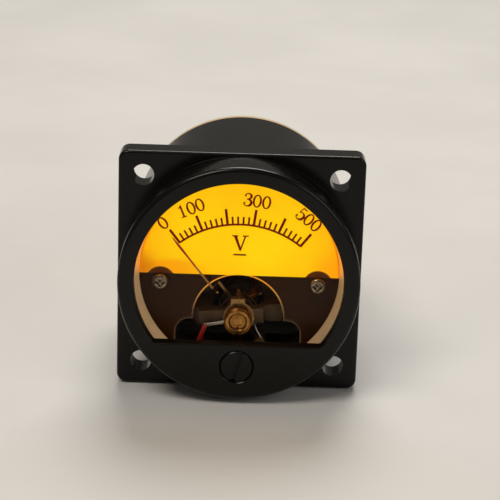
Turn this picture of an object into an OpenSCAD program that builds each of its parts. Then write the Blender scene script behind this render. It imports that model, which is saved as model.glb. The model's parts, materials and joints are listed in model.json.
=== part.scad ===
// Square-flange panel voltmeter with a round window and a moving-coil movement.
// Millimetres. X is to the right, Y goes back through the panel, Z is up.
// The origin is the middle of the flange's back face, where the panel lies.

/* [Case] */
// Side of the square flange
flange_w = 45; // [44.6:0.1:50]
// Thickness of the flange
flange_t = 5; // [4:0.5:6]
// Distance between the mounting holes, both ways
hole_spacing = 36; // [35:0.5:38]
// Diameter of the mounting holes
hole_d = 4; // [3:0.1:4.4]
// Diameter of the raised bezel in front of the flange
boss_d = 44; // [43:0.1:44.4]
// Diameter of the barrel behind the flange
barrel_d = 42.6; // [42.4:0.1:43]
// Length of the barrel and its back cover behind the flange
barrel_len = 30.6; // [30.6:0.1:34]

/* [Window and dial] */
// Diameter of the round window
window_d = 38; // [37.6:0.1:38.6]
// Height of the window's flat bottom edge, from the window's middle
sill_z = -11.36; // [-11.5:0.02:-11]
// Diameter of the dial plate
dial_d = 36.8; // [36:0.1:36.8]
// Radius of the arch cut in the dial over the movement
arch_r = 8.4; // [8.2:0.1:8.8]
// Half width of the cut-out below the arch
shoulder_x = 11.6; // [11:0.1:12]

/* [Movement] */
// Height of the pointer's axis
pivot_z = -8.45; // [-8.6:0.05:-8.3]
// Angle of the pointer at zero, from straight up
rest_angle = -38.6; // [-39:0.1:-37]
// Length of the pointer from its axis to its tip
pointer_len = 19.8; // [16:0.1:20]
// Bore between the pole shoes
pole_bore_d = 9.4; // [9.4:0.1:9.6]
// Diameter of the iron core inside the coil
core_d = 6.8; // [6:0.1:6.8]
// Turns of each hairspring
spring_turns = 4; // [3:1:5]

/* [Zero adjuster] */
// Height of the slotted zero adjuster
adjuster_z = -15.6; // [-15.7:0.05:-15.5]
// Diameter of the zero adjuster
adjuster_d = 6; // [5.6:0.1:6]
// Offset of its eccentric pin
pin_offset = 0.8; // [0.6:0.1:0.8]
// Angle of its screwdriver slot from upright
slot_angle = 14; // [0:1:90]

/* [Hidden] */
$fn = 48;

// Case: stations along Y
eps = 0.05;
bezel_front = -flange_t - 8.3;
lip_back = bezel_front + 2.4;
barrel_r = barrel_d / 2;
boss_r = boss_d / 2;
bore_r = 20;
rim_t = 1.5;
root_chamfer = 0.2;
rim_front = barrel_len - rim_t;
flange_corner_r = 1.8;
flange_edge_r = 0.5;
boss_edge_r = 0.8;
window_r = window_d / 2;
rim_round = 0.3;
sill_corner = 0.5;
corner_z = sill_z + sill_corner;
corner_x = sqrt(pow(window_r - sill_corner, 2) - pow(corner_z, 2));
corner_top = corner_z * window_r / (window_r - sill_corner);

// Lens
lens_r = 19.85;
lens_t = 1.3;
lens_bottom = sill_z - 0.54;

// Inner cup
cup_front = -8.65;
cup_r = 19.8;
cup_mouth_r = 19.3;
cup_inner_r = dial_d / 2 + 0.05;
back_inner = rim_front - 0.2;
pad_t = 0.5;
pad_r = 4.2;
post_bottom = 29;

// Dial and light box
dial_front = -6.2;
dial_t = 1;
dial_back = dial_front + dial_t;
arch_z = pivot_z - 0.15;
shoulder_z = -8.9;
shoulder_r = 2.6;
dial_screw_x = 14.5;
dial_screw_z = -1.7;
dial_post_r = 2.6;
box_floor = -0.3;
box_wall = 1;
box_back = 10;
board_t = 1.2;
lamp_x = 7.5;
lamp_z = 8;
pillar_xz = 10.5;
pillar_r = 1.6;

// Movement: stations along Y
pole_front = 2.5;
pole_back = 9;
pole_half = 3.55;
pole_x = 8.2;
magnet_x = 11.5;
yoke_x = 13;
yoke_bottom = -14.6;
yoke_t = 1.5;
coil_front = 1.7;
coil_back = 9.9;
coil_half = 4.4;
coil_depth = 1.6;
winding_t = 0.6;
former_t = 0.12;
pointer_y = -0.35;
pointer_t = 0.25;
pointer_front = -7.7;
cross_t = 0.3;
spring_y = -3.6;
rear_spring_y = 12.1;
spring_w = 0.4;
spring_t = 0.12;
spring_r0 = 0.96;
spring_r1 = 3.8;
chassis_y = 13.6;
chassis_t = 1.6;
chassis_r = 18.2;
chassis_top = -0.6;
chassis_screw_x = 12.5;
pole_screw_x = 6.8;
nut_front = -9;
tag_y = -7.5;
collar_y = -7.3;
bridge_y = -6.6;
bridge_left = -7.2;
bridge_right = 4.75;
bridge_foot_in = 5;
bridge_foot_out = 8.3;
bridge_foot_y = -4.2;
bridge_tilt = -4.5;
jewel_r = 1.45;
jewel_back = -4.9;
arm_y = -7.2;
arm_t = 0.5;
stop_r = 5.1;
stop_angle = 52;

// Zero adjuster
adjuster_r = adjuster_d / 2;
hole_gap = 0.05;
adjuster_flange_r = adjuster_r + 0.5;
pin_r = 0.5;
fork_gap = 0.05;

// Terminals on the back cover
stud_x = 9;
stud_z = 2;
stud_r = 1.5;
stud_end = barrel_len + 9.4;
washer_t = 0.5;
nut_af = 5.5;
nut_t = 2.4;
lug_t = 0.5;
pad_y = barrel_len + pad_t;
nut_y = pad_y + washer_t;
lug_y = nut_y + nut_t;
lamp_tag_x = 4.5;
lamp_tag_z = 13;
lamp_tag_w = 2.2;
lamp_tag_t = 0.5;
lamp_tag_in = 26;

// Colours
black = [0.03, 0.03, 0.03];
cream = [0.85, 0.80, 0.68];
amber = [0.98, 0.76, 0.08];
brass = [0.72, 0.55, 0.26];
steel = [0.62, 0.61, 0.58];
iron = [0.33, 0.31, 0.29];
copper = [0.66, 0.33, 0.16];
aluminium = [0.80, 0.80, 0.80];

// Wire routes, each from its first joint to its last
red_route = [
    [-6.1, -7.9, -9.75], [-6.5, -7.9, -10.9], [-7.1, -7.7, -12.5], [-7.6, -6.6, -14.2],
    [-7.6, -4.2, -15.6], [-7.2, -1, -16.2], [-7, 4, -16.3], [-7, 10, -16.3],
    [-7, 14.4, -16.3], [-7.5, 18, -15], [-8.5, 21, -9.5], [-9, 24, -3.2],
    [-9, 25.2, 0.8], [-9, 26, 1], [-9, 26.88, 1]
];
bare_route = [
    [3.1, -6.775, -9.35], [3.3, -6.9, -10.1], [3.95, -7, -11.35], [4.8, -6.9, -12.8],
    [5.2, -5.9, -14.2], [5, -3.4, -15.7], [4.4, -0.7, -16.35], [4.2, 1, -16.45]
];
return_route = [
    [4.2, 8, -16.45], [4.4, 11, -16.4], [5, 14.4, -16.2], [6.5, 18, -15],
    [8.5, 21, -9.5], [9, 24, -3.2], [9, 25.2, 0.8], [9, 26, 1], [9, 26.88, 1]
];
lamp_route = [
    [4.5, 11.2, 7], [4.5, 14, 7.2], [4.5, 18, 8.6], [4.5, 22, 11.2],
    [4.5, 24.6, 12.8], [4.5, 26, 13]
];

// ---------- shared shapes ----------

// Extrudes an outline drawn in X and Z from y0 to y1
module slab(y0, y1) {
    translate([0, y1, 0]) rotate([90, 0, 0]) linear_extrude(height = y1 - y0) children();
}

// Turns a profile of [radius, y] about the Y axis
module turned() {
    rotate([-90, 0, 0]) rotate_extrude() children();
}

// Round bar along Y
module rod(r, y0, y1) {
    translate([0, y0, 0]) rotate([-90, 0, 0]) cylinder(r = r, h = y1 - y0);
}

// Cone along Y
module cone(r0, r1, y0, y1) {
    translate([0, y0, 0]) rotate([-90, 0, 0]) cylinder(r1 = r0, r2 = r1, h = y1 - y0);
}

// Profile of a disc of radius r from y0 to y1 whose front edge is rounded
module round_front(r, edge, y0, y1) {
    translate([0, y0 + edge]) square([r, y1 - y0 - edge]);
    translate([0, y0]) square([r - edge, edge]);
    translate([r - edge, y0 + edge]) circle(r = edge, $fn = 32);
}

// Puts children at x, z and at the mirrored -x, z
module both_sides(x, z) {
    for (side = [-1, 1]) translate([side * x, 0, z]) children();
}

// Circle cut flat at height z
module flat_bottom_circle(r, z) {
    intersection() {
        circle(r = r, $fn = 96);
        translate([-r - 1, z]) square([2 * r + 2, r + 1 - z]);
    }
}

// Local frame of the movement: the origin on the pointer's axis
module at_pivot() {
    translate([0, 0, pivot_z]) children();
}

// The same, turned so that +Z lies along the resting pointer
module at_pointer() {
    at_pivot() rotate([0, rest_angle, 0]) children();
}

// Front bridge's frame: its strap lies a little out of level
module at_bridge() {
    at_pivot() rotate([0, bridge_tilt, 0]) children();
}

// Round wire swept along a list of points with eight sides
function unit(v) = v / norm(v);
function along(path, i) = unit(path[min(i + 1, len(path) - 1)] - path[max(i - 1, 0)]);
function ring(c, t, r) =
    let (u = unit(cross(t, [0.31, 0.13, 0.94])), w = cross(u, t))
    [for (a = [0:45:315]) c + r * cos(a) * u + r * sin(a) * w];
module wire(path, d) {
    n = len(path);
    points = [for (i = [0:n - 1]) each ring(path[i], along(path, i), d / 2)];
    sides = [for (i = [0:n - 2], k = [0:7])
        [8 * i + k, 8 * i + (k + 1) % 8, 8 * (i + 1) + (k + 1) % 8, 8 * (i + 1) + k]];
    ends = [[for (k = [7:-1:0]) k], [for (k = [0:7]) 8 * (n - 1) + k]];
    polyhedron(points = points, faces = concat(sides, ends), convexity = 6);
}

// Points between the given ones, on a smooth curve through them
function bend_point(p0, p1, p2, p3, t) =
    0.5 * (2 * p1 + (p2 - p0) * t + (2 * p0 - 5 * p1 + 4 * p2 - p3) * t * t
        + (3 * p1 - p0 - 3 * p2 + p3) * t * t * t);
function smooth(p, steps = 3) = [
    for (i = [0:len(p) - 2], s = [0:steps - 1])
        bend_point(p[max(i - 1, 0)], p[i], p[i + 1], p[min(i + 2, len(p) - 1)], s / steps),
    p[len(p) - 1]
];

// Pan-head screw along +Y: its head's seat at y = 0, its recess facing -Y
module pan_screw(head_r, head_h, shank_r, length, cross = true) {
    difference() {
        turned() round_front(head_r, head_h * 0.45, -head_h, 0);
        if (cross) {
            for (a = [0, 90]) rotate([0, a, 0]) {
                translate([-head_r * 0.62, -head_h - eps, -head_r * 0.17])
                    cube([head_r * 1.24, head_h * 0.6, head_r * 0.34]);
            }
            cone(head_r * 0.5, 0.05, -head_h - eps, -head_h * 0.2);
        } else {
            translate([-head_r - eps, -head_h - eps, -head_r * 0.14])
                cube([2 * head_r + 2 * eps, head_h * 0.45, head_r * 0.28]);
        }
    }
    rod(shank_r, 0, length);
}

// ---------- case and window ----------

// Flange with a rounded front edge and rounded corners
module flange() {
    half = flange_w / 2;
    inner = half - flange_corner_r;
    for (a = [0, 90]) rotate([0, a, 0]) {
        translate([0, 0, -inner]) linear_extrude(height = 2 * inner) for (s = [0, 1])
            mirror([s, 0]) flange_section(half);
    }
    for (x = [-inner, inner], z = [-inner, inner]) translate([x, 0, z])
        turned() round_front(flange_corner_r, flange_edge_r, -flange_t, 0);
}

// Half of the flange's section, from its middle to its edge
module flange_section(half) {
    translate([0, -flange_t + flange_edge_r]) square([half, flange_t - flange_edge_r]);
    translate([0, -flange_t]) square([half - flange_edge_r, flange_edge_r]);
    translate([half - flange_edge_r, -flange_t + flange_edge_r])
        circle(r = flange_edge_r, $fn = 32);
}

// Window opening through the lip, with a fine bevel round its front edge
module window_opening() {
    slab(bezel_front - 1, lip_back + eps) window_outline();
    intersection() {
        turned() rim_profile(window_r);
        translate([-25, bezel_front - 1, corner_top + 0.3]) cube([50, 3, 50]);
    }
    translate([-corner_x, 0, corner_z]) rotate([0, 90, 0]) linear_extrude(height = 2 * corner_x)
        rim_profile(sill_corner);
}

// Round window whose flat bottom edge has rounded ends
module window_outline() {
    flat_bottom_circle(window_r, corner_top);
    translate([-corner_x, sill_z]) square([2 * corner_x, corner_top - sill_z + eps]);
    for (side = [-1, 1]) translate([side * corner_x, corner_z]) circle(r = sill_corner);
}

// Room outside radius r, in [radius, y], that leaves the front edge rounded
module rim_profile(r) {
    difference() {
        translate([r - 0.3, bezel_front - eps]) square([0.3 + rim_round, rim_round + eps]);
        translate([r + rim_round, bezel_front + rim_round]) circle(r = rim_round, $fn = 32);
    }
}

// Stops that limit the zero adjuster's turn, inside the lip
module adjuster_stops() {
    for (a = [-46, 46]) translate([0, 0, adjuster_z]) rotate([0, a, 0])
        translate([-0.4, lip_back - eps, -adjuster_flange_r - 0.6])
            cube([0.8, 0.75, 0.45]);
}

module front_case() color(black) {
    difference() {
        union() {
            flange();
            turned() round_front(boss_r, boss_edge_r, bezel_front, -flange_t / 2);
            rod(barrel_r, -flange_t / 2, rim_front);
            cone(barrel_r + root_chamfer + 0.1, barrel_r, -0.1, root_chamfer);
        }
        rod(bore_r, lip_back, rim_front + 1);
        window_opening();
        for (x = [-1, 1], z = [-1, 1])
            translate([x * hole_spacing / 2, 0, z * hole_spacing / 2])
                rod(hole_d / 2, -flange_t - 1, 1);
        translate([0, 0, adjuster_z]) {
            rod(adjuster_r + hole_gap, bezel_front - 1, lip_back + 1);
            cone(adjuster_r + hole_gap + 0.2, adjuster_r + hole_gap, bezel_front, bezel_front + 0.2);
        }
    }
    adjuster_stops();
}

module window_lens() color([0.9, 0.95, 1, 0.3])
    slab(lip_back, lip_back + lens_t) flat_bottom_circle(lens_r, lens_bottom);

// Cream cup: back cover, wall round the movement and the posts inside
module inner_cup() color(cream) {
    difference() {
        union() {
            rod(cup_r, cup_front, rim_front + eps);
            rod(barrel_r - 0.05, rim_front, barrel_len);
            both_sides(stud_x, stud_z) rod(pad_r, barrel_len - 1, pad_y);
        }
        cone(cup_mouth_r, cup_inner_r, cup_front, dial_front);
        rod(cup_mouth_r, cup_front - 1, cup_front + 0.001);
        rod(cup_inner_r, dial_front - 0.001, back_inner);
        both_sides(stud_x, stud_z) rod(stud_r, back_inner - 1, pad_y + 1);
        for (side = [-1, 1]) lamp_tag_blade(side, back_inner - 1, barrel_len + 1);
    }
    both_sides(dial_screw_x, dial_screw_z) screw_post(dial_post_r, dial_back, 0.8);
    for (side = [-1, 1]) translate([side * 17.6 - 1, dial_back, dial_screw_z - 0.6])
        cube([2, post_bottom - dial_back, 1.2]);
    both_sides(chassis_screw_x, pivot_z) screw_post(2.4, chassis_y + chassis_t, 0.85);
    both_sides(pillar_xz, pillar_xz) rod(pillar_r, box_back + board_t, post_bottom);
}

// Post of the cup from y to the back cover, with a blind screw hole
module screw_post(r, y, hole_r) {
    difference() {
        rod(r, y, post_bottom);
        rod(hole_r, y - 1, y + 6);
    }
}

// ---------- dial and its light ----------

// D-shaped tray that holds the lamplight behind the upper half of the dial
module light_box() color(cream) difference() {
    slab(dial_back, box_back) box_outline(dial_d / 2 - 0.05, box_floor, dial_post_r + 0.15);
    slab(dial_back - 1, box_back - box_wall)
        box_outline(dial_d / 2 - 0.05 - box_wall, box_floor + box_wall, dial_post_r + 0.15 + box_wall);
    both_sides(lamp_x, lamp_z) rod(1.7, box_back - box_wall - 1, box_back + 1);
}

// Outline of the tray, notched round the dial's posts
module box_outline(r, z, notch_r) {
    difference() {
        flat_bottom_circle(r, z);
        for (side = [-1, 1]) translate([side * dial_screw_x, dial_screw_z]) circle(r = notch_r);
    }
}

// Opening in the dial for the movement: an arch on two rounded shoulders
module arch_outline() {
    low = -20;
    translate([0, arch_z]) circle(r = arch_r, $fn = 96);
    translate([-shoulder_x + shoulder_r, low])
        square([2 * (shoulder_x - shoulder_r), shoulder_z - low]);
    translate([-shoulder_x, low]) square([2 * shoulder_x, shoulder_z - shoulder_r - low]);
    for (side = [-1, 1]) translate([side * (shoulder_x - shoulder_r), shoulder_z - shoulder_r])
        circle(r = shoulder_r);
}

module dial_plate() color(amber) slab(dial_front, dial_back) difference() {
    circle(r = dial_d / 2, $fn = 96);
    arch_outline();
    for (side = [-1, 1]) translate([side * dial_screw_x, dial_screw_z]) circle(r = 0.95);
}

module dial_screws() color(steel) both_sides(dial_screw_x, dial_screw_z)
    translate([0, dial_front, 0]) pan_screw(1.5, 1.2, 0.8, 6.6);

module lamp_board() color([0.75, 0.62, 0.38]) slab(box_back, box_back + board_t) difference() {
    translate([-pillar_xz - 1.5, 4.6]) square([2 * pillar_xz + 3, 7.4]);
    for (side = [-1, 1]) translate([side * (pillar_xz + 1.5), 4.6]) circle(r = 1.5);
}

// Grain-of-wheat lamp: a capped glass bulb that stands on the board
module lamp(side) color([1, 0.85, 0.5]) translate([side * lamp_x, 0, lamp_z]) {
    rod(1.6, 6.5, box_back);
    rod(1.45, 2, 6.5);
    translate([0, 2, 0]) sphere(r = 1.45);
}

module lamp_left() lamp(-1);
module lamp_right() lamp(1);

// Flat blade of a lamp's tag between two stations
module lamp_tag_blade(side, y0, y1) {
    translate([side * lamp_tag_x - lamp_tag_w / 2, y0, lamp_tag_z - lamp_tag_t / 2])
        cube([lamp_tag_w, y1 - y0, lamp_tag_t]);
}

// Tag through the back cover, with an eyelet and a round end
module lamp_tag(side) color(steel) difference() {
    union() {
        lamp_tag_blade(side, lamp_tag_in, barrel_len + 5);
        translate([side * lamp_tag_x, barrel_len + 5, lamp_tag_z - lamp_tag_t / 2])
            cylinder(r = lamp_tag_w / 2, h = lamp_tag_t);
    }
    translate([side * lamp_tag_x, barrel_len + 5, lamp_tag_z - 1]) cylinder(r = 0.55, h = 2);
}

module lamp_tag_left() lamp_tag(-1);
module lamp_tag_right() lamp_tag(1);
module lamp_lead_left() color("white") mirror([1, 0, 0]) wire(smooth(lamp_route, 2), 0.9);
module lamp_lead_right() color("white") wire(smooth(lamp_route, 2), 0.9);

// ---------- magnet circuit and frame ----------

// Half of an outline, drawn on one side of the axis or the other
module block(side, x0, x1, z0, z1) {
    translate([side > 0 ? x0 : -x1, z0]) square([x1 - x0, z1 - z0]);
}

// U-shaped outline with round lower corners
module u_outline(x, bottom, r) {
    translate([-x + r, bottom]) square([2 * (x - r), r + 1]);
    translate([-x, bottom + r]) square([2 * x, 12]);
    for (side = [-1, 1]) translate([side * (x - r), bottom + r]) circle(r = r);
}

module yoke() color(iron) difference() {
    slab(pole_front, pole_back) intersection() {
        difference() {
            u_outline(yoke_x, yoke_bottom, 3.5);
            u_outline(magnet_x, yoke_bottom + yoke_t, 0.9);
        }
        translate([-20, -20]) square([40, 20 + pivot_z + pole_half]);
    }
    core_post();
}

module magnet(side) color([0.25, 0.24, 0.24]) slab(pole_front, pole_back)
    block(side, pole_x, magnet_x, pivot_z - pole_half, pivot_z + pole_half);

module magnet_left() magnet(-1);
module magnet_right() magnet(1);

// Pole shoe: a block hollowed to the coil's path
module pole(side) color(iron) difference() {
    slab(pole_front, pole_back) difference() {
        block(side, 1.5, pole_x, pivot_z - pole_half, pivot_z + pole_half);
        translate([0, pivot_z]) circle(d = pole_bore_d, $fn = 96);
    }
    translate([side * pole_screw_x, 0, pivot_z]) rod(0.85, pole_front - 1, pole_back + 1);
    stop_pin(side);
}

module pole_left() pole(-1);
module pole_right() pole(1);

module core() color(iron) difference() {
    at_pivot() rod(core_d / 2, 2.9, 8.6);
    core_post();
}

// Pin that carries the core from the yoke, between the pole shoes
module core_post() color(brass)
    translate([0, (pole_front + pole_back) / 2, yoke_bottom]) cylinder(r = 1, h = 4.1);

// Black chassis plate behind the magnets, with a foot on each pole shoe
module chassis() color(black) difference() {
    union() {
        slab(chassis_y, chassis_y + chassis_t) difference() {
            rotate(180) flat_bottom_circle(chassis_r, -chassis_top);
            for (side = [-1, 1]) translate([side * dial_screw_x, dial_screw_z])
                circle(r = dial_post_r + 0.15);
            for (side = [-1, 1]) translate([side * 17.5, dial_screw_z + 0.6]) square([6, 2.8], center = true);
        }
        for (side = [-1, 1]) slab(pole_back, chassis_y + eps)
            block(side, 5.4, pole_x, pivot_z - pole_half, pivot_z + pole_half);
    }
    at_pivot() rod(jewel_r, chassis_y - 1, chassis_y + 3);
    both_sides(pole_screw_x, pivot_z) rod(0.85, pole_back - 1, chassis_y + 3);
    both_sides(chassis_screw_x, pivot_z) rod(0.9, chassis_y - 1, chassis_y + 3);
    translate([red_route[8][0], 0, red_route[8][2]]) rod(0.9, chassis_y - 1, chassis_y + 3);
    translate([return_route[2][0], 0, return_route[2][2]]) rod(0.9, chassis_y - 1, chassis_y + 3);
    rear_spring_post();
}

module pole_screws() color(steel) both_sides(pole_screw_x, pivot_z)
    translate([0, chassis_y + chassis_t, 0]) mirror([0, 1, 0]) pan_screw(1.6, 1.2, 0.85, 15.7);

module chassis_screws() color(steel) both_sides(chassis_screw_x, pivot_z)
    translate([0, chassis_y, 0]) pan_screw(1.6, 1.2, 0.85, 6);

// Die-cast bridge: a crossbar over the coil and a foot on each pole shoe
module front_bridge() color([0.42, 0.40, 0.37]) difference() {
    at_bridge() union() {
        slab(bridge_y, bridge_foot_y) {
            translate([bridge_left + 0.7, -1.15]) square([bridge_right - bridge_left - 0.7, 2.8]);
            translate([bridge_left, -0.45]) square([1, 2.1]);
            translate([bridge_left + 0.7, -0.45]) circle(r = 0.7);
        }
        for (side = [-1, 1]) {
            slab(bridge_foot_y - 0.3, bridge_foot_y + 1.6)
                bridge_block(side, 4.15, bridge_foot_in + 0.1, -1.1, 1.4);
            slab(bridge_foot_y, pole_front) bridge_foot(side);
        }
    }
    at_pivot() rod(jewel_r, bridge_y - 1, bridge_foot_y + 1);
    both_sides(pole_screw_x, pivot_z) rod(0.85, -0.8, pole_front + 1);
}

// Outline on one side of the bridge's own middle
module bridge_block(side, x0, x1, z0, z1) {
    translate([side > 0 ? x0 : -x1, z0]) square([x1 - x0, z1 - z0]);
}

// Foot of the bridge, its lower corners rounded
module bridge_foot(side) {
    r = 0.9;
    bridge_block(side, bridge_foot_in, bridge_foot_out, -1.8 + r, 1.5);
    bridge_block(side, bridge_foot_in + r, bridge_foot_out - r, -1.8, 1.5);
    for (x = [bridge_foot_in + r, bridge_foot_out - r]) translate([side * x, -1.8 + r]) circle(r = r);
}

// Threaded jewel cup. The cone in its end takes the staff's point
module jewel_screw(front, back, mouth) difference() {
    rod(jewel_r, front, back);
    cone(0, 0.65, mouth - 0.7, mouth);
    rod(0.95, front - 1, front + 0.25);
    translate([-0.2, front - eps, -jewel_r - eps]) cube([0.4, 0.6 + eps, 2 * jewel_r + 2 * eps]);
}

module front_jewel_screw() color(brass) at_pivot() {
    jewel_screw(nut_front + 0.45, jewel_back, jewel_back + 0.001);
    difference() {
        rod(1.8, collar_y, bridge_y);
        rod(jewel_r - eps, collar_y - 1, bridge_y + 1);
    }
}

module rear_jewel_screw() color(brass) at_pivot() translate([0, 17.2, 0]) mirror([0, 1, 0])
    jewel_screw(0, 3.8, 3.801);

// Round lock nut, bevelled outside and countersunk inside
module lock_nut(t) difference() {
    union() {
        cone(2.2, 2.6, 0, 0.4);
        rod(2.6, 0.4, t);
    }
    rod(jewel_r, -1, t + 1);
    cone(1.7 + eps, jewel_r, -eps, 0.25);
}

module front_lock_nut() color(brass) at_pivot() translate([0, nut_front, 0])
    lock_nut(tag_y - nut_front);

module rear_lock_nut() color(brass) at_pivot() translate([0, chassis_y + chassis_t + 1.1, 0])
    mirror([0, 1, 0]) lock_nut(1.1);

// Pin beside the resting pointer and its twin at the end of the scale
module stop_pin(side) {
    at_pivot() translate([side * stop_r * sin(stop_angle), 0, stop_r * cos(stop_angle)])
        rod(0.25, -1.6, 4);
}

module pointer_stops() color(brass) {
    stop_pin(-1);
    stop_pin(1);
}

// Solder tag clamped under the front lock nut
module lead_tag() color(steel) at_pivot() slab(tag_y, collar_y) difference() {
    union() {
        circle(r = 2.3);
        rotate(192) translate([0, -0.3]) square([6.1, 0.6]);
        rotate(192) translate([6.1, 0]) circle(r = 0.45, $fn = 24);
    }
    circle(r = jewel_r);
}

// ---------- moving coil ----------

// Rectangle with round corners, half its width wide
module round_rect(half, y0, y1, r) {
    translate([-half + r, y0]) square([2 * (half - r), y1 - y0]);
    translate([-half, y0 + r]) square([2 * half, y1 - y0 - 2 * r]);
    for (x = [-half + r, half - r], y = [y0 + r, y1 - r]) translate([x, y]) circle(r = r, $fn = 32);
}

// Closed rectangular band of thickness t, its outside inset from the coil's
module coil_band(inset, t) {
    at_pointer() translate([0, 0, -coil_depth / 2]) linear_extrude(height = coil_depth)
        difference() {
            round_rect(coil_half - inset, coil_front + inset, coil_back - inset, 0.9 - inset);
            round_rect(coil_half - inset - t, coil_front + inset + t, coil_back - inset - t,
                0.9 - inset - t);
        }
}

module coil_winding() color(copper) coil_band(0, winding_t);
module coil_former() color(aluminium) coil_band(winding_t, former_t);

// Turned staff from the coil's end to its point in the jewel, facing -Y
module staff(base, collet, shoulder) {
    rod(1.2, base - 0.4, base);
    rod(0.5, shoulder, base - 0.4);
    rod(0.9, collet - 0.1, collet + spring_w + 0.1);
    rod(0.3, shoulder - 0.35, shoulder);
    cone(0, 0.3, shoulder - 1.1, shoulder - 0.35);
}

module front_staff() color(brass) at_pointer() staff(coil_front, spring_y, -4.4);

module rear_staff() color(brass) at_pointer() translate([0, coil_back, 0]) mirror([0, 1, 0])
    staff(0, -rear_spring_y - spring_w + coil_back, -2.95);

// Flat spiral band from the collet out to its anchor, which is straight up
function spiral_r(t) = spring_r0 + (spring_r1 - spring_r0) * t;
function spiral(t, side) =
    let (a = 90 + 360 * spring_turns * (t - 1), r = spiral_r(t) + side * spring_t)
    [r * cos(a), r * sin(a)];
module hairspring(y) {
    n = 20 * spring_turns;
    slab(y, y + spring_w) polygon(concat(
        [for (i = [0:n]) spiral(i / n, 0)],
        [for (i = [n:-1:0]) spiral(i / n, 1)]));
}

module front_hairspring() color([0.62, 0.45, 0.24]) at_pivot() hairspring(spring_y);
module rear_hairspring() color([0.62, 0.45, 0.24]) at_pivot() hairspring(rear_spring_y);

// Post in the chassis that anchors the rear hairspring
module rear_spring_post() color(brass) at_pivot() translate([-0.31, 0, spring_r1 + 0.06])
    rod(0.3, rear_spring_y, chassis_y + chassis_t);

// Outline of a flat blade that tapers from half width w0 to w1
module blade(z0, z1, w0, w1) {
    polygon([[-w0, z0], [w0, z0], [w1, z1], [-w1, z1]]);
}

// Pointer: behind the dial at its hub, it steps forward through the arch
module pointer() color([0.42, 0.10, 0.05]) at_pointer() {
    inner_r = 6.3;
    outer_r = 7.7;
    slab(pointer_y, pointer_y + pointer_t) difference() {
        union() {
            circle(r = 1);
            blade(0, inner_r, 0.35, 0.22);
        }
        circle(r = 0.5);
    }
    translate([-0.17, 0, 0]) rotate([90, 0, 90]) linear_extrude(height = 0.34) polygon([
        [pointer_y, inner_r - 0.02], [pointer_y + pointer_t, inner_r],
        [pointer_front + pointer_t, outer_r + 0.02], [pointer_front, outer_r]
    ]);
    slab(pointer_front, pointer_front + pointer_t) {
        blade(outer_r - 0.05, pointer_len - 4.6, 0.17, 0.145);
        blade(pointer_len - 4.6 - eps, pointer_len - 2.9, 0.145, 0.21);
        blade(pointer_len - 2.9 - eps, pointer_len - 1.9, 0.21, 0.2);
        blade(pointer_len - 1.9 - eps, pointer_len, 0.2, 0.06);
    }
}

// Cross that carries the balance weights behind the pointer
module balance_cross() color(brass) at_pointer()
    slab(pointer_y + pointer_t, pointer_y + pointer_t + cross_t) difference() {
        union() {
            circle(r = 1.15);
            for (a = [90, 180, 270]) rotate(a) translate([-0.175, 0]) square([0.35, 4.3]);
        }
        circle(r = 0.5);
    }

// Weight threaded on one arm of the cross, between two radii
module balance_weight(angle, r, r0, r1) {
    mid = pointer_y + pointer_t + cross_t / 2;
    rotate([0, angle, 0]) difference() {
        translate([0, mid, r0]) cylinder(r = r, h = r1 - r0);
        translate([-0.175, mid - cross_t / 2, r0 - 1]) cube([0.35, cross_t, r1 - r0 + 2]);
    }
}

module balance_weights() color(brass) at_pointer() {
    balance_weight(90, 0.45, 3, 3.9);
    balance_weight(-90, 0.45, 3, 3.9);
    balance_weight(180, 0.62, 3, 4.2);
}

// ---------- zero adjuster ----------

module zero_adjuster() color(black) translate([0, 0, adjuster_z]) {
    difference() {
        union() {
            cone(adjuster_r - 0.2, adjuster_r, bezel_front, bezel_front + 0.2);
            rod(adjuster_r, bezel_front + 0.2, lip_back + 0.05);
            rod(adjuster_flange_r, lip_back + 0.05, lip_back + 0.7);
            translate([-0.5, lip_back + 0.05, -adjuster_flange_r - 0.5]) cube([1, 0.65, 1]);
        }
        rotate([0, slot_angle, 0]) translate([-0.4, bezel_front - eps, -adjuster_r - eps])
            cube([0.8, 0.9 + eps, 2 * adjuster_r + 2 * eps]);
    }
    translate([0, 0, pin_offset]) rod(pin_r, lip_back + 0.7, arm_y + arm_t + 0.3);
}

// Zero arm: a ring on the jewel screw, a fork on the adjuster's pin below
// and a tab above that reaches back to the outer end of the hairspring
module zero_arm() color([0.58, 0.50, 0.36]) at_pivot() {
    fork_x = pin_r + fork_gap;
    fork_top = adjuster_z - pivot_z + pin_offset + pin_r + 0.35;
    fork_end = adjuster_z - pivot_z - 0.4;
    lobe_top = 3.6;
    spring_out = spring_r1 + spring_t + 0.005;
    slab(arm_y, arm_y + arm_t) difference() {
        union() {
            circle(r = 2.7);
            translate([0.2, 0.4]) circle(r = 2.85);
            translate([-1.4, 0]) square([2.6, lobe_top]);
            translate([-0.9, fork_top]) square([1.8, -fork_top]);
            translate([-fork_x - 0.7, fork_end]) square([2 * fork_x + 1.4, fork_top - fork_end + 0.6]);
        }
        circle(r = 1.85);
        translate([-fork_x, fork_end - 1]) square([2 * fork_x, fork_top - fork_end + 1]);
    }
    translate([-1.4, arm_y, lobe_top - 0.05]) cube([2.6, 1, 0.35]);
    translate([-0.5, arm_y, lobe_top - 0.05]) cube([0.9, spring_y - 0.1 - arm_y, 0.35]);
    translate([-0.3, spring_y - 0.5, lobe_top]) cube([0.5, 0.4, 0.95]);
    translate([-0.3, spring_y - 0.2, spring_out]) cube([0.5, spring_w + 0.3, lobe_top + 0.95 - spring_out]);
}

// ---------- wiring ----------

module red_lead() color([0.70, 0.05, 0.03]) wire(smooth(red_route), 0.85);
module bare_lead() color(steel) wire(smooth(bare_route), 0.35);
module return_lead() color(black) wire(smooth(return_route), 0.85);

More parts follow.
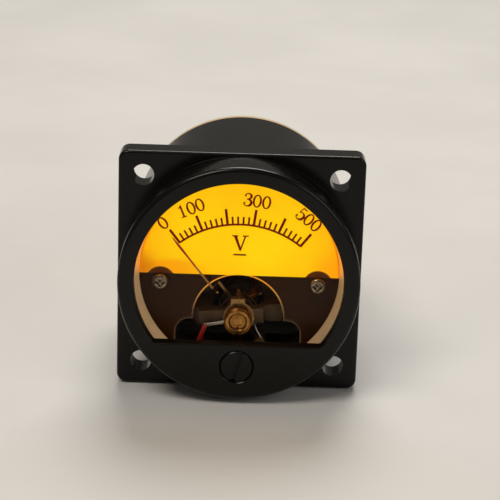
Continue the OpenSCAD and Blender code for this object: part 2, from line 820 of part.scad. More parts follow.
module series_resistor() color([0.70, 0.56, 0.38])
    translate([return_route[0][0], 0, return_route[0][2]]) {
        rod(1.05, 1.6, 7.4);
        rod(1.2, 1, 2.6);
        rod(1.2, 6.4, 8);
    }

// ---------- terminals ----------

module terminal_studs() color(brass) both_sides(stud_x, stud_z) {
    rod(2.75, back_inner - 2, back_inner);
    rod(stud_r, back_inner, stud_end - 0.4);
    cone(stud_r, stud_r - 0.4, stud_end - 0.4, stud_end);
}

module stud_washers() color(steel) both_sides(stud_x, stud_z) difference() {
    rod(3.5, pad_y, nut_y);
    rod(stud_r + 0.1, pad_y - 1, nut_y + 1);
}

// Hexagon nut between two stations, with bevelled corners
module hex_nut(y, turn) {
    corner_r = nut_af / 2 / cos(30);
    translate([0, y, 0]) difference() {
        intersection() {
            rotate([0, turn, 0]) rotate([-90, 0, 0]) cylinder(r = corner_r, h = nut_t, $fn = 6);
            union() {
                cone(nut_af / 2, nut_af / 2 + 0.5, 0, 0.3);
                rod(nut_af / 2 + 0.5, 0.3, nut_t - 0.3);
                cone(nut_af / 2 + 0.5, nut_af / 2, nut_t - 0.3, nut_t);
            }
        }
        rod(stud_r, -1, nut_t + 1);
    }
}

module stud_nuts() color(brass) both_sides(stud_x, stud_z) hex_nut(nut_y, 10);
module terminal_nuts() color(brass) both_sides(stud_x, stud_z) hex_nut(lug_y + lug_t, 24);

// Solder lug: a ring round the stud and a tail with an eyelet
module solder_lug(side) color(steel) translate([side * stud_x, 0, stud_z])
    slab(lug_y, lug_y + lug_t) difference() {
        union() {
            circle(r = 3);
            translate([-1.25, -9]) square([2.5, 9]);
            translate([0, -9]) circle(r = 1.25);
        }
        circle(r = stud_r + 0.1);
        translate([0, -8.6]) circle(r = 0.7);
    }

module solder_lug_left() solder_lug(-1);
module solder_lug_right() solder_lug(1);

front_case();
window_lens();
inner_cup();
light_box();
dial_plate();
dial_screws();
lamp_board();
lamp_left();
lamp_right();
lamp_tag_left();
lamp_tag_right();
lamp_lead_left();
lamp_lead_right();
yoke();
magnet_left();
magnet_right();
pole_left();
pole_right();
core();
core_post();
chassis();
pole_screws();
chassis_screws();
front_bridge();
front_jewel_screw();
front_lock_nut();
rear_jewel_screw();
rear_lock_nut();
pointer_stops();
lead_tag();
rear_spring_post();
red_lead();
bare_lead();
series_resistor();
return_lead();
coil_former();
coil_winding();
front_staff();
rear_staff();
pointer();
balance_cross();
balance_weights();
front_hairspring();
rear_hairspring();
zero_adjuster();
zero_arm();
terminal_studs();
stud_washers();
stud_nuts();
solder_lug_left();
solder_lug_right();
terminal_nuts();
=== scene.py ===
"""Looks, light and camera for the panel meter. Metres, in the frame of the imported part."""

import json
import math

import bpy
from mathutils import Matrix, Vector


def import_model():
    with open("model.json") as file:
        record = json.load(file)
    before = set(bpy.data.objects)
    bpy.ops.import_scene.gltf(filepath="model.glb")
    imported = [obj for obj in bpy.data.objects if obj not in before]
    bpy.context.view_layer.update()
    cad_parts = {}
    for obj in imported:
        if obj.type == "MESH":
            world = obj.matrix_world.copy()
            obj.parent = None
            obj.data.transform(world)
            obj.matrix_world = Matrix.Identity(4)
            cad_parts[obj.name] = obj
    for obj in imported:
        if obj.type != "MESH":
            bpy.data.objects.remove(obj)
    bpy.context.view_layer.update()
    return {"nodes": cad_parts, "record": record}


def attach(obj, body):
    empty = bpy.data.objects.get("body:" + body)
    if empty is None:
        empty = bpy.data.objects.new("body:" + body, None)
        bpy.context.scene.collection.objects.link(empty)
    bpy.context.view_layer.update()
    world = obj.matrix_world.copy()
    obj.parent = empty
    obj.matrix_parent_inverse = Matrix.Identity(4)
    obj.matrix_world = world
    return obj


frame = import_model()
NODES = frame["nodes"]
MM = 0.001

# ---------------------------------------------------------------- node helpers


class Graph:
    """A material's node tree, with short calls for the nodes used here."""

    def __init__(self, name):
        self.mat = bpy.data.materials.new(name)
        self.mat.use_nodes = True
        self.nodes = self.mat.node_tree.nodes
        self.links = self.mat.node_tree.links
        self.nodes.clear()
        self.out = self.nodes.new("ShaderNodeOutputMaterial")

    def put(self, socket, value):
        if isinstance(value, bpy.types.NodeSocket):
            self.links.new(value, socket)
        elif isinstance(value, tuple) and len(value) == 3 and len(socket.default_value) == 4:
            socket.default_value = (*value, 1.0)
        else:
            socket.default_value = value

    def node(self, kind, out=0, settings=None, **inputs):
        n = self.nodes.new("ShaderNode" + kind)
        for key, value in (settings or {}).items():
            setattr(n, key, value)
        for key, value in inputs.items():
            self.put(n.inputs[key.replace("_", " ")], value)
        return n.outputs[out]

    def math(self, op, a, b=0.0, c=0.0, clamp=False):
        n = self.nodes.new("ShaderNodeMath")
        n.operation = op
        n.use_clamp = clamp
        for socket, value in zip(n.inputs, (a, b, c)):
            self.put(socket, value)
        return n.outputs[0]

    def mix(self, factor, a, b):
        n = self.nodes.new("ShaderNodeMix")
        n.data_type = "RGBA"
        self.put(n.inputs["Factor"], factor)
        self.put(n.inputs["A"], a)
        self.put(n.inputs["B"], b)
        return n.outputs["Result"]

    def ramp(self, value, low, high, a=0.0, b=1.0):
        n = self.nodes.new("ShaderNodeMapRange")
        n.interpolation_type = "SMOOTHSTEP"
        settings = {"Value": value, "From Min": low, "From Max": high, "To Min": a, "To Max": b}
        for key, setting in settings.items():
            self.put(n.inputs[key], setting)
        return n.outputs[0]

    def coords(self, scale=(1, 1, 1), turn=(0, 0, 0)):
        """Object coordinates in millimetres, turned and scaled."""
        source = self.node("TexCoord", out=3)
        in_mm = self.node("Mapping", settings={"vector_type": "POINT"}, Vector=source,
                          Scale=(1000, 1000, 1000))
        return self.node("Mapping", settings={"vector_type": "POINT"}, Vector=in_mm,
                         Rotation=tuple(math.radians(v) for v in turn), Scale=scale)

    def xyz(self):
        """X, Y and Z of the object coordinates in millimetres."""
        split = self.nodes.new("ShaderNodeSeparateXYZ")
        self.put(split.inputs[0], self.coords())
        return split.outputs

    def length(self, x, z):
        squares = self.math("ADD", self.math("MULTIPLY", x, x), self.math("MULTIPLY", z, z))
        return self.math("SQRT", squares)

    def distance(self, x, z, cx, cz):
        """Distance from the point (cx, cz) as seen from the front."""
        return self.length(self.math("SUBTRACT", x, cx), self.math("SUBTRACT", z, cz))

    def noise(self, scale, detail=3.0, vector=None, rough=0.55):
        return self.node("TexNoise", Vector=vector or self.coords(), Scale=scale, Detail=detail,
                         Roughness=rough)

    def bump(self, height, distance, normal=None, strength=1.0):
        n = self.nodes.new("ShaderNodeBump")
        self.put(n.inputs["Height"], height)
        n.inputs["Strength"].default_value = strength
        n.inputs["Distance"].default_value = distance * MM
        if normal is not None:
            self.put(n.inputs["Normal"], normal)
        return n.outputs[0]

    def soft_edge(self, radius):
        return self.node("Bevel", settings={"samples": 6}, Radius=radius * MM)

    def principled(self, color, rough, normal=None, **inputs):
        n = self.nodes.new("ShaderNodeBsdfPrincipled")
        self.put(n.inputs["Base Color"], color)
        self.put(n.inputs["Roughness"], rough)
        if normal is not None:
            self.put(n.inputs["Normal"], normal)
        for key, value in inputs.items():
            self.put(n.inputs[key.replace("_", " ")], value)
        return n.outputs[0]

    def mix_shader(self, factor, a, b):
        n = self.nodes.new("ShaderNodeMixShader")
        self.put(n.inputs[0], factor)
        self.links.new(a, n.inputs[1])
        self.links.new(b, n.inputs[2])
        return n.outputs[0]

    def done(self, shader):
        self.links.new(shader, self.out.inputs["Surface"])
        return self.mat


def srgb(r, g, b):
    """Linear colour from 0-255 display values."""
    return tuple(v / 255 / 12.92 if v <= 10 else ((v / 255 + 0.055) / 1.055) ** 2.4
                 for v in (r, g, b))


RING_PITCH = 60.0  # radians of the turned rings per millimetre of radius


def plastic(name, color, rough, grain=0.9, depth=0.004, edge=0.0, worn=None, gloss=0.5):
    """Moulded plastic: a faint uneven surface and fine scuffs."""
    g = Graph(name)
    broad = g.noise(0.16, 2)
    fine = g.noise(grain, 5)
    scuff = g.noise(3.2, 6, g.coords(scale=(0.25, 1.0, 3.0), turn=(0, 31, 0)))
    scuff = g.ramp(scuff, 0.60, 0.74)
    rough_value = g.math("ADD", g.math("MULTIPLY", broad, 0.10), rough - 0.05)
    rough_value = g.math("MULTIPLY_ADD", scuff, 0.12, rough_value)
    lighter = worn or tuple(min(1.0, v * 1.5 + 0.006) for v in color)
    tint = g.mix(g.math("MULTIPLY", g.ramp(fine, 0.45, 0.75), 0.35), color, lighter)
    base = g.soft_edge(edge) if edge else None
    normal = g.bump(fine, depth, base)
    return g.done(g.principled(tint, rough_value, normal, Specular_IOR_Level=gloss))


def metal(name, color, rough, edge=0.06, grain=(1, 1, 1), tarnish=None, depth=0.0015,
          rings_at=None):
    """Bare metal: fine machining marks, uneven tarnish and soft edges, turned rings if asked."""
    g = Graph(name)
    marks = g.noise(7.0, 5, g.coords(scale=grain))
    cloud = g.noise(0.55, 4)
    dull = tarnish or tuple(v * 0.55 for v in color)
    tint = g.mix(g.ramp(cloud, 0.40, 0.72, 0.0, 0.75), color, dull)
    rough_value = g.math("MULTIPLY_ADD", cloud, 0.22, rough - 0.08)
    height = marks
    if rings_at is not None:
        x, _, z = g.xyz()
        radius = g.distance(x, z, *rings_at)
        rings = g.math("SINE", g.math("MULTIPLY", radius, RING_PITCH))
        height = g.math("MULTIPLY_ADD", rings, 0.25, marks)
    normal = g.bump(height, depth, g.soft_edge(edge))
    return g.done(g.principled(tint, rough_value, normal, Metallic=1.0))


# ---------------------------------------------------------------- materials

PIVOT_Z = -8.45
ARCH = (0.0, -8.6, 8.4)  # centre X, centre Z and radius
SHOULDER = (11.6, -8.9, 2.6)  # half width, top Z and corner radius
SCREWS = ((-14.5, -1.7), (14.5, -1.7))
LAMPS = ((-7.5, 8.0), (7.5, 8.0))
GLOW = 0.95
MILKY = 0.12
SCATTER_DEPTH = 0.8 * MM


def lit_color(g, x, z):
    """Painted glow of the sheet lit from behind: pools of light round the lamps, orange towards the
    ends of the line.
    """
    pool = 0.0
    for cx, cz in LAMPS:
        pool = g.math("ADD", pool, g.ramp(g.distance(x, z, cx, cz), 0.0, 13.0, 0.55, 0.0))
    middle = g.ramp(g.distance(x, z, 3.0, 3.0), 0.0, 8.0, 0.4, 0.0)
    pool = g.math("ADD", pool, middle, clamp=True)
    lit = g.mix(pool, srgb(255, 190, 0), srgb(255, 219, 3))
    mottled = g.ramp(g.noise(0.35, 4), 0.3, 0.7)
    far = g.ramp(g.distance(x, z, 0.0, 4.0), 12.0, 19.0)
    far = g.math("MULTIPLY", far, g.math("MULTIPLY_ADD", mottled, 0.4, 0.4))
    lit = g.mix(far, lit, srgb(252, 170, 1))
    # shade of the moulding behind the sheet's lower left part
    shade = g.ramp(g.distance(x, z, -12.5, -12.0), 13.9, 14.9, 1.0, 0.0)
    shade = g.math("MULTIPLY", shade, g.ramp(x, -12.0, -3.0, 1.0, 0.0))
    lit = g.mix(g.math("MULTIPLY", shade, 0.8), lit, srgb(246, 150, 0))
    # painted shade: darker orange in the sheet's left corner
    corner_shade = g.ramp(g.distance(x, z, -18.4, 1.0), 0.5, 4.5, 1.0, 0.0)
    lit = g.mix(g.math("MULTIPLY", corner_shade, 0.75), lit, srgb(190, 95, 0))
    # painted shade: deeper orange low on the right of the glow
    right_low = g.ramp(g.distance(x, z, 17.6, 0.6), 0.5, 5.5, 0.8, 0.0)
    lit = g.mix(right_low, lit, srgb(255, 158, 0))
    # painted shade: a thin darker rim where the sheet meets the cup
    rim = g.ramp(g.distance(x, z, 0.0, 0.0), 17.9, 18.4, 0.0, 0.8)
    return g.mix(rim, lit, srgb(225, 110, 5))


def cut_out_gap(g, x, z):
    """Distance outside the cut-out: an arch over a box with round upper corners."""
    arch = g.math("SUBTRACT", g.distance(x, z, ARCH[0], ARCH[1]), ARCH[2])
    qx = g.math("SUBTRACT", g.math("ABSOLUTE", x), SHOULDER[0] - SHOULDER[2])
    qz = g.math("SUBTRACT", z, SHOULDER[1] - SHOULDER[2])
    corner_gap = g.length(g.math("MAXIMUM", qx, 0.0), g.math("MAXIMUM", qz, 0.0))
    flat_gap = g.math("MINIMUM", g.math("MAXIMUM", qx, qz), 0.0)
    shoulder = g.math("SUBTRACT", g.math("ADD", corner_gap, flat_gap), SHOULDER[2])
    return g.math("MINIMUM", arch, shoulder)


def dial_material():
    """Translucent sheet: bare above the line, with the lamp light from behind painted on as glow,
    printed dark below it.
    """
    g = Graph("dial_sheet")
    x, _, z = g.xyz()
    upper = g.ramp(z, -0.28, -0.22)
    # painted shadow of the screw posts behind the sheet: no glow there
    post_shadow = 0.0
    for cx, cz in SCREWS:
        post_shadow = g.math("MAXIMUM", post_shadow, g.ramp(g.distance(x, z, cx, cz), 2.6, 2.85, 1.0, 0.0))
    glow_area = g.math("MULTIPLY", upper, g.math("SUBTRACT", 1.0, post_shadow))
    # painted glow on the bare margin round the cut-out, strongest at the top of the arch
    margin = g.ramp(cut_out_gap(g, x, z), 0.18, 0.30, 1.0, 0.0)
    lift = g.ramp(z, -9.0, -0.6)
    edge = g.math("MULTIPLY", margin, g.math("MULTIPLY_ADD", lift, 0.90, 0.10))
    edge = g.math("MULTIPLY", edge, g.math("SUBTRACT", 1.0, upper))
    edge_color = g.mix(lift, srgb(190, 150, 110), srgb(240, 150, 30))
    glow_color = g.mix(glow_area, edge_color, lit_color(g, x, z))
    glow_all = g.math("MAXIMUM", glow_area, edge)
    cloud = g.ramp(g.noise(1.1, 5), 0.35, 0.75)
    dark = g.mix(cloud, (0.034, 0.0100, 0.0010), (0.048, 0.0140, 0.0015))
    # painted shadow of the posts: brown above the line where they block the lamp light
    dark = g.mix(g.math("MULTIPLY", upper, post_shadow), dark, srgb(122, 62, 6))
    sheet = g.mix(glow_area, dark, (0.22, 0.09, 0.0))
    rough = g.mix(glow_area, (0.20, 0.20, 0.20), (0.42, 0.42, 0.42))
    normal = g.bump(g.noise(2.2, 4), 0.0012)
    return g.done(g.principled(sheet, rough, normal, Specular_IOR_Level=0.12,
                               Emission_Color=glow_color,
                               Emission_Strength=g.math("MULTIPLY", glow_all, GLOW)))


def lens_material():
    """Clear acrylic: it lets the view through unbent and mirrors a little at a slant."""
    g = Graph("clear_acrylic")
    smear = g.noise(0.22, 4)
    clear = g.node("BsdfTransparent", Color=(0.985, 0.985, 0.98))
    mirror = g.node("BsdfAnisotropic", Color=(1, 1, 1),
                    Roughness=g.ramp(smear, 0.3, 0.8, 0.02, 0.07))
    fresnel = g.node("Fresnel", IOR=1.10)
    return g.done(g.mix_shader(fresnel, clear, mirror))


def pointer_material():
    """Thin blade, bare metal near the coil and painted red further out."""
    g = Graph("pointer_blade")
    x, _, z = g.xyz()
    radius = g.distance(x, z, 0.0, PIVOT_Z)
    uneven = g.math("MULTIPLY_ADD", g.noise(1.4, 3), 0.8, radius)
    painted = g.ramp(uneven, 13.2, 13.8)
    marks = g.noise(6.0, 4)
    bare = g.principled(g.mix(marks, (0.50, 0.27, 0.10), (0.30, 0.14, 0.04)), 0.28,
                        g.bump(marks, 0.001), Metallic=1.0)
    # red paint, with a faint painted glow as emission
    tint = g.mix(marks, (0.46, 0.012, 0.0), (0.36, 0.010, 0.0))
    red_paint_and_glow = g.principled(tint, g.ramp(marks, 0.3, 0.7, 0.34, 0.48), g.bump(marks, 0.001),
                         Emission_Color=(0.5, 0.010, 0.0), Emission_Strength=0.18)
    return g.done(g.mix_shader(painted, bare, red_paint_and_glow))


def cup_material():
    """Cream moulding with painted glow for the lamp light coming through it, most beside the lit
    half of the dial.
    """
    g = Graph("cup_plastic")
    x, y, z = g.xyz()
    front = g.ramp(y, -4.5, -6.0)
    beside = g.math("MULTIPLY", g.ramp(z, -1.2, 2.2), front)
    below = g.math("MULTIPLY", g.math("SUBTRACT", 1.0, beside), front)
    fine = g.noise(0.7, 5)
    tint = g.mix(g.ramp(fine, 0.45, 0.75), (0.60, 0.44, 0.25), (0.52, 0.38, 0.21))
    # painted shade: the inside of the cup darkened
    cup_inside_shade = g.math("MULTIPLY", g.ramp(y, -5.2, -4.2), g.ramp(y, 28.0, 28.8, 1.0, 0.0))
    tint = g.mix(cup_inside_shade, tint, (0.05, 0.03, 0.015))
    glow = g.mix(beside, (0.55, 0.36, 0.19), (1.0, 0.33, 0.02))
    # painted glow a little stronger on the left side than on the right
    side = g.ramp(x, -10.0, 10.0, 0.24, 0.17)
    level = g.math("MULTIPLY_ADD", beside, 0.55, g.math("MULTIPLY", below, side))
    normal = g.bump(fine, 0.004, g.soft_edge(0.05))
    return g.done(g.principled(tint, g.ramp(fine, 0.3, 0.7, 0.34, 0.44), normal,
                               Subsurface_Weight=MILKY, Subsurface_Scale=SCATTER_DEPTH,
                               Emission_Color=glow, Emission_Strength=level))


def glowing_plastic(name, color, rough, glow, strength):
    """Milky moulded plastic with a painted glow for a little lamp light coming through it."""
    g = Graph(name)
    fine = g.noise(0.9, 5)
    tint = g.mix(g.ramp(fine, 0.4, 0.75), color, tuple(v * 0.8 for v in color))
    level = g.ramp(g.noise(0.18, 2), 0.3, 0.7, 0.6 * strength, strength)
    uneven = g.ramp(fine, 0.3, 0.7, rough - 0.04, rough + 0.06)
    return g.done(g.principled(tint, uneven, g.bump(fine, 0.004),
                               Subsurface_Weight=MILKY, Subsurface_Scale=SCATTER_DEPTH,
                               Emission_Color=glow, Emission_Strength=level))


def lamp_material():
    """Lit bulb."""
    g = Graph("lit_lamp")
    return g.done(g.principled((1.0, 0.72, 0.30), g.ramp(g.noise(0.8), 0.3, 0.8, 0.08, 0.2),
                               Emission_Color=(1.0, 0.52, 0.10), Emission_Strength=3.0))


MATERIALS = {
    "case": plastic("case_plastic", (0.0035, 0.0028, 0.0020), 0.20, grain=0.8, depth=0.002,
                    edge=0.12, worn=(0.006, 0.005, 0.004), gloss=0.22),
    "cup": cup_material(),
    "chassis": plastic("chassis_plastic", (0.010, 0.008, 0.006), 0.45, edge=0.08, gloss=0.3),
    "board": plastic("board_laminate", (0.50, 0.34, 0.15), 0.5, edge=0.05),
    "resistor": plastic("resistor_lacquer", (0.47, 0.30, 0.13), 0.35),
    "wire_red": plastic("wire_red", (0.42, 0.012, 0.008), 0.33),
    "wire_black": plastic("wire_black", (0.012, 0.012, 0.012), 0.36),
    "wire_white": plastic("wire_white", (0.66, 0.62, 0.52), 0.36),
    "pointer": pointer_material(),
    "box": glowing_plastic("box_plastic", (0.60, 0.44, 0.24), 0.38, (1.0, 0.42, 0.05), 0.10),
    # painted shade: the yoke is coloured near black for the shade deep inside the case
    "yoke": plastic("yoke_dark_painted_shade", (0.008, 0.006, 0.004), 0.42, edge=0.10, depth=0.002,
                    gloss=0.3),
    "bridge": metal("zinc_casting", (0.135, 0.085, 0.050), 0.42, edge=0.10, depth=0.004,
                    tarnish=(0.075, 0.045, 0.024)),
    "screw": metal("zinc_screw", (0.34, 0.26, 0.18), 0.22, edge=0.10, tarnish=(0.12, 0.08, 0.05)),
    "tinned": metal("tinned", (0.52, 0.44, 0.34), 0.20, edge=0.08, tarnish=(0.22, 0.17, 0.11)),
    "iron": metal("zinc_iron", (0.12, 0.085, 0.055), 0.36, edge=0.12, grain=(1, 0.2, 1)),
    "magnet": metal("magnet", (0.05, 0.04, 0.03), 0.42, edge=0.15, grain=(0.3, 1, 1)),
    "brass": metal("brass", (0.44, 0.205, 0.045), 0.17, edge=0.09, tarnish=(0.24, 0.10, 0.02),
                   rings_at=(0, PIVOT_Z)),
    "spring": metal("spring_bronze", (0.46, 0.24, 0.10), 0.25, edge=0.02),
    "arm": metal("plated_arm", (0.36, 0.20, 0.075), 0.24, edge=0.09, tarnish=(0.17, 0.09, 0.03)),
    "former": metal("former_aluminium", (0.80, 0.80, 0.80), 0.25, edge=0.04),
    "copper": metal("enamelled_copper", (0.36, 0.09, 0.02), 0.30, edge=0.06, grain=(1, 1, 6)),
    "dial": dial_material(),
    "window": lens_material(),
    "lamp": lamp_material(),
}

for part in frame["record"]["subparts"]:
    node = NODES[part["node"]]
    node.data.materials.clear()
    node.data.materials.append(MATERIALS[part["material_slot"]])

# ---------------------------------------------------------------- dial print


DIAL_Y = -6.2
PRINT_LIFT = 0.006
PRINT_STEP = 0.0006
PRINT_LAYERS = 8
PRINT_R = 18.3  # nothing is printed beyond this distance from the dial's centre
BOLD = 1.6


class Print:
    """Flat print on the dial: outlines filled in X and Z, each a hair in front of the last."""

    def __init__(self):
        self.verts, self.faces, self.count = [], [], 0

    def add(self, points):
        """Adds the points on the next layer and gives the first one's index."""
        base = len(self.verts)
        y = DIAL_Y - PRINT_LIFT - PRINT_STEP * (self.count % PRINT_LAYERS)
        self.verts += [(x * MM, y * MM, z * MM) for x, z in points]
        self.count += 1
        return base

    def polygon(self, points):
        base = self.add(points)
        self.faces.append(list(range(base, base + len(points))))

    def strip(self, left, right):
        base, n = self.add(left + right), len(left)
        for i in range(n - 1):
            quad = (base + i, base + i + 1, base + n + i + 1, base + n + i)
            cx = sum(self.verts[k][0] for k in quad) / 4 / MM
            cz = sum(self.verts[k][2] for k in quad) / 4 / MM
            if math.hypot(cx, cz) < PRINT_R:
                self.faces.append(list(quad))

    def object(self, name, material):
        mesh = bpy.data.meshes.new(name)
        mesh.from_pydata(self.verts, [], self.faces)
        mesh.update()
        obj = bpy.data.objects.new(name, mesh)
        bpy.context.scene.collection.objects.link(obj)
        obj.data.materials.append(material)
        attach(obj, "meter")
        return obj


def brush(path, widths):
    """Left and right edges of a stroke along path, its width following widths."""
    left, right = [], []
    n = len(path)
    for i, (x, z) in enumerate(path):
        a, b = path[max(i - 1, 0)], path[min(i + 1, n - 1)]
        dx, dz = b[0] - a[0], b[1] - a[1]
        length = math.hypot(dx, dz) or 1.0
        t = i / (n - 1) * (len(widths) - 1)
        k = min(int(t), len(widths) - 2)
        w = (widths[k] + (widths[k + 1] - widths[k]) * (t - k)) / 2
        left.append((x - dz / length * w, z + dx / length * w))
        right.append((x + dz / length * w, z - dx / length * w))
    return left, right


def curve(points, steps=7):
    """Smooth line through points."""
    result = []
    for i in range(len(points) - 1):
        p = [points[max(i - 1, 0)], points[i], points[i + 1], points[min(i + 2, len(points) - 1)]]
        for s in range(steps):
            t = s / steps
            result.append(tuple(
                0.5 * (2 * p[1][k] + (p[2][k] - p[0][k]) * t
                       + (2 * p[0][k] - 5 * p[1][k] + 4 * p[2][k] - p[3][k]) * t * t
                       + (3 * p[1][k] - p[0][k] - 3 * p[2][k] + p[3][k]) * t ** 3) for k in (0, 1)))
    result.append(points[-1])
    return result


def disc(cx, cz, r, n=14):
    angles = [2 * math.pi * i / n for i in range(n)]
    return [(cx + r * math.cos(a), cz + r * math.sin(a)) for a in angles]


# Serif figures one unit high, each a list of strips, brushed strokes and filled outlines
def figure_zero():
    outer, inner, n = [], [], 44
    for i in range(n + 1):
        a = 2 * math.pi * i / n
        outer.append((0.345 * math.cos(a), 0.5 + 0.52 * math.sin(a)))
        inner.append((0.185 * math.cos(a), 0.5 + 0.415 * math.sin(a)))
    return [("strip", outer, inner)]


def figure_one():
    return [
        ("fill", [(-0.075, 0.02), (0.075, 0.02), (0.075, 1.01), (0.0, 1.01), (-0.075, 0.90)]),
        ("fill", [(0.02, 1.01), (-0.075, 0.92), (-0.22, 0.82), (-0.22, 0.75), (-0.06, 0.82)]),
        ("fill", [(-0.22, -0.01), (0.22, -0.01), (0.22, 0.06), (0.08, 0.09), (-0.08, 0.09),
                  (-0.22, 0.06)]),
    ]


def figure_three():
    top = curve([(-0.24, 0.82), (-0.15, 0.95), (0.02, 0.985), (0.19, 0.90), (0.215, 0.74),
                 (0.12, 0.585), (-0.08, 0.54)])
    low = curve([(-0.08, 0.54), (0.13, 0.50), (0.27, 0.37), (0.26, 0.18), (0.13, 0.04),
                 (-0.06, 0.015), (-0.22, 0.08), (-0.27, 0.21)])
    return [("stroke", top, [0.06, 0.05, 0.08, 0.12, 0.10, 0.05]),
            ("stroke", low, [0.05, 0.09, 0.13, 0.12, 0.06, 0.05, 0.06]),
            ("fill", disc(-0.215, 0.80, 0.075)), ("fill", disc(-0.235, 0.215, 0.08))]


def figure_five():
    bowl = curve([(-0.19, 0.50), (-0.05, 0.60), (0.14, 0.58), (0.27, 0.43), (0.26, 0.20),
                  (0.12, 0.04), (-0.07, 0.015), (-0.22, 0.08), (-0.26, 0.20)])
    return [("stroke", bowl, [0.04, 0.05, 0.09, 0.13, 0.12, 0.06, 0.05, 0.06]),
            ("fill", disc(-0.225, 0.215, 0.08)),
            ("stroke", [(-0.19, 0.50), (-0.155, 0.75), (-0.13, 1.0)], [0.05, 0.05]),
            ("fill", [(-0.15, 1.0), (-0.13, 0.895), (0.20, 0.895), (0.245, 1.0), (0.20, 0.985)])]


FIGURES = {"0": figure_zero, "1": figure_one, "3": figure_three, "5": figure_five}


def write(page, text, center, turn, height, pitch):
    """Figures in a row about center, turned clockwise by turn degrees."""
    c, s = math.cos(math.radians(turn)), math.sin(math.radians(turn))
    for k, letter in enumerate(text):
        shift = (k - (len(text) - 1) / 2) * pitch

        def place(p, shift=shift):
            x, z = shift + p[0] * height, (p[1] - 0.5) * height
            return center[0] + x * c + z * s, center[1] - x * s + z * c

        for kind, *shape in FIGURES[letter]():
            if kind == "fill":
                page.polygon([place(p) for p in shape[0]])
            elif kind == "strip":
                page.strip([place(p) for p in shape[0]], [place(p) for p in shape[1]])
            else:
                left, right = brush(shape[0], [w * BOLD for w in shape[1]])
                page.strip([place(p) for p in left], [place(p) for p in right])


def polar(r, degrees):
    a = math.radians(degrees)
    return r * math.sin(a), PIVOT_Z + r * math.cos(a)


SCALE_R = 17.95
LINE_HALF = 0.19
SWEEP = 38.0
ARC_STEPS = 76
DIVISIONS = 25
NUMBER_R = 22.75
NUMBER_HEIGHT = 2.4
NUMBER_PITCH = 1.72
NUMBERS = (  # figures, angle, and how far each stands off its place in X and Z
    ("0", -38.0, -0.20, -0.14),
    ("100", -22.8, -0.33, -0.19),
    ("300", 7.6, -0.12, -0.07),
    ("500", 38.0, -1.62, 1.35),
)


def print_scale(page):
    """Arc line and its ticks, every fifth one long."""
    arc = [SWEEP * (2 * i / ARC_STEPS - 1) for i in range(ARC_STEPS + 1)]
    page.strip([polar(SCALE_R + LINE_HALF, a) for a in arc],
               [polar(SCALE_R - LINE_HALF, a) for a in arc])
    for i in range(DIVISIONS + 1):
        angle = SWEEP * (2 * i / DIVISIONS - 1)
        end, width = (21.0, 0.48) if i % 5 == 0 else (19.45, 0.36)
        page.strip(*brush([polar(SCALE_R - 0.1, angle), polar(end, angle)], [width, width]))


def print_numbers(page):
    for text, angle, dx, dz in NUMBERS:
        cx, cz = polar(NUMBER_R, angle)
        write(page, text, (cx + dx, cz + dz), angle, NUMBER_HEIGHT, NUMBER_PITCH)


def print_unit(page):
    """Unit mark with its serifs, and the bar under it."""
    page.polygon([(-1.22, 7.34), (-0.62, 7.34), (0.24, 4.75), (0.12, 4.46), (-0.08, 4.46)])
    page.polygon([(0.80, 7.34), (1.12, 7.34), (0.16, 4.46), (0.02, 4.46), (0.02, 4.90)])
    page.polygon([(-1.52, 7.20), (-0.36, 7.20), (-0.36, 7.44), (-1.52, 7.44)])
    page.polygon([(0.42, 7.20), (1.52, 7.20), (1.52, 7.44), (0.42, 7.44)])
    page.polygon([(-1.20, 3.56), (1.16, 3.56), (1.16, 3.88), (-1.20, 3.88)])


def ink_material():
    """Dark red ink with a painted glow for the lit sheet showing through a little."""
    g = Graph("print_ink")
    tone = g.mix(g.ramp(g.noise(2.0, 4), 0.3, 0.7), srgb(108, 2, 0), srgb(128, 8, 0))
    return g.done(g.principled((0.03, 0.001, 0.0), 0.6, Specular_IOR_Level=0.1,
                               Emission_Color=tone, Emission_Strength=0.75))


page = Print()
print_scale(page)
print_numbers(page)
print_unit(page)
dial_print = page.object("dial_print", ink_material())

# ---------------------------------------------------------------- stage


CAMERA_AZIMUTH = -0.00228  # radians
CAMERA_ELEVATION = 0.304536
CAMERA_ROLL = -0.031981
CAMERA_DISTANCE = 326.0
CAMERA_SHIFT = (1.837, 4.119)  # to the right and up, from the line through the target
CAMERA_TARGET = (0, -5.0, 0)
SENSOR = 36.0
LENS = 127.124424


def aim(azimuth, elevation):
    """Directions back to the camera, to its right and up."""
    back = Vector((math.sin(azimuth) * math.cos(elevation),
                   -math.cos(azimuth) * math.cos(elevation), math.sin(elevation)))
    right = Vector((math.cos(azimuth), math.sin(azimuth), 0.0))
    return back, right, back.cross(right)


def set_camera():
    """Camera at the viewing angle of the picture."""
    back, right, up = aim(CAMERA_AZIMUTH, CAMERA_ELEVATION)
    cam_right = right * math.cos(CAMERA_ROLL) - up * math.sin(CAMERA_ROLL)
    cam_up = right * math.sin(CAMERA_ROLL) + up * math.cos(CAMERA_ROLL)
    place = (back * CAMERA_DISTANCE + right * CAMERA_SHIFT[0] + up * CAMERA_SHIFT[1]
             + Vector(CAMERA_TARGET)) * MM
    data = bpy.data.cameras.new("camera")
    data.sensor_width = SENSOR
    data.lens = LENS
    data.clip_start = 0.01
    cam = bpy.data.objects.new("camera", data)
    cam.matrix_world = Matrix((
        (cam_right.x, cam_up.x, back.x, place.x),
        (cam_right.y, cam_up.y, back.y, place.y),
        (cam_right.z, cam_up.z, back.z, place.z),
        (0, 0, 0, 1),
    ))
    bpy.context.scene.collection.objects.link(cam)
    bpy.context.scene.camera = cam


def light(name, place, target, size, power, color=(1, 1, 1)):
    data = bpy.data.lights.new(name, "AREA")
    data.shape = "DISK"
    data.size = size
    data.energy = power
    data.color = color
    obj = bpy.data.objects.new(name, data)
    obj.location = place
    obj.rotation_euler = (Vector(target) - Vector(place)).to_track_quat("-Z", "Y").to_euler()
    bpy.context.scene.collection.objects.link(obj)


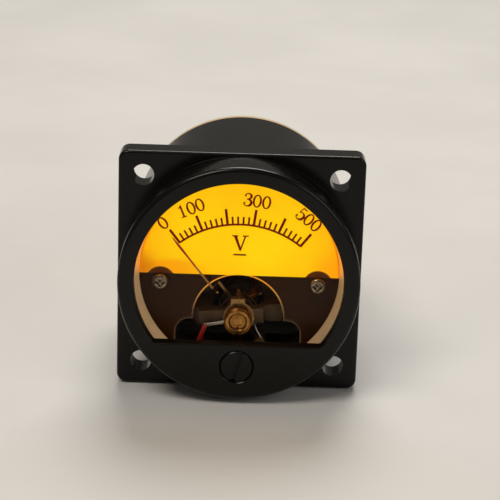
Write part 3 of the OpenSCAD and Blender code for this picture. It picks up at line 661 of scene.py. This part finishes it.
def floor():
    """Pale floor that touches the flange's lower edge and the rim of the back cover."""
    flange_half, cover_r, cover_y, gap = 22.5, 21.25, 30.6, 0.02
    slope = (flange_half - cover_r) / cover_y
    corners = ((-1500, -900), (1500, -900), (1500, 2500), (-1500, 2500))
    verts = [(x * MM, y * MM, (-flange_half - gap + slope * y) * MM) for x, y in corners]
    mesh = bpy.data.meshes.new("floor")
    mesh.from_pydata(verts, [], [(0, 1, 2, 3)])
    obj = bpy.data.objects.new("floor", mesh)
    bpy.context.scene.collection.objects.link(obj)
    g = Graph("floor_paint")
    tone = g.mix(g.ramp(g.noise(0.02, 3), 0.3, 0.7), (0.62, 0.61, 0.59), (0.66, 0.65, 0.63))
    obj.data.materials.append(g.done(g.principled(tone, 0.55, g.bump(g.noise(0.6, 3), 0.01))))


def world():
    """Dim even room light; the camera itself sees a pale grey."""
    w = bpy.data.worlds.new("world")
    bpy.context.scene.world = w
    w.use_nodes = True
    nodes, links = w.node_tree.nodes, w.node_tree.links
    nodes.clear()
    out = nodes.new("ShaderNodeOutputWorld")
    room = nodes.new("ShaderNodeBackground")
    room.inputs["Color"].default_value = (1.0, 0.94, 0.86, 1)
    room.inputs["Strength"].default_value = 0.16
    seen = nodes.new("ShaderNodeBackground")
    seen.inputs["Color"].default_value = (0.60, 0.60, 0.60, 1)
    seen.inputs["Strength"].default_value = 1.0
    path = nodes.new("ShaderNodeLightPath")
    mix = nodes.new("ShaderNodeMixShader")
    links.new(path.outputs["Is Camera Ray"], mix.inputs[0])
    links.new(room.outputs[0], mix.inputs[1])
    links.new(seen.outputs[0], mix.inputs[2])
    links.new(mix.outputs[0], out.inputs[0])


set_camera()
world()
floor()
light("key", (-0.30, -0.40, 0.75), (0, 0, 0), 0.40, 3.4, (1.0, 0.93, 0.84))
light("fill", (0.55, -0.45, 0.35), (0, 0, 0), 0.5, 1.0, (1.0, 0.97, 0.94))
light("top", (0.05, 0.40, 0.6), (0, 0, 0), 0.4, 3.6, (1.0, 0.96, 0.90))
bpy.context.scene.view_settings.view_transform = "Standard"
